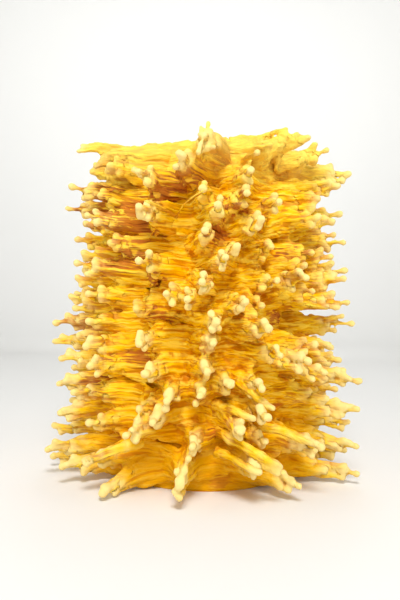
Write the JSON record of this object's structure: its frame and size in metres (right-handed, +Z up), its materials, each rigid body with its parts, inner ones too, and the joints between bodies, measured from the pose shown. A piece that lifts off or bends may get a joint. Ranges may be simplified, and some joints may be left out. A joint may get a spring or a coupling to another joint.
{
  "type": "tree cake",
  "caption": "Tall hollow tree cake baked on a spit: golden layered batter with ranks of long knobbed spikes all round.",
  "frame": {"origin": "on the axis of the spit hole, in the plane of the cut foot that the cake stands on", "axes": "+Z up along the spit hole, -Y towards the front that the picture shows, +X to that front's right"},
  "size_m": [0.2348, 0.2239, 0.2559],
  "materials": {
    "golden_crust": "satin"
  },
  "bodies": {
    "root": {"cake": "golden_crust"}
  },
  "joints": []
}
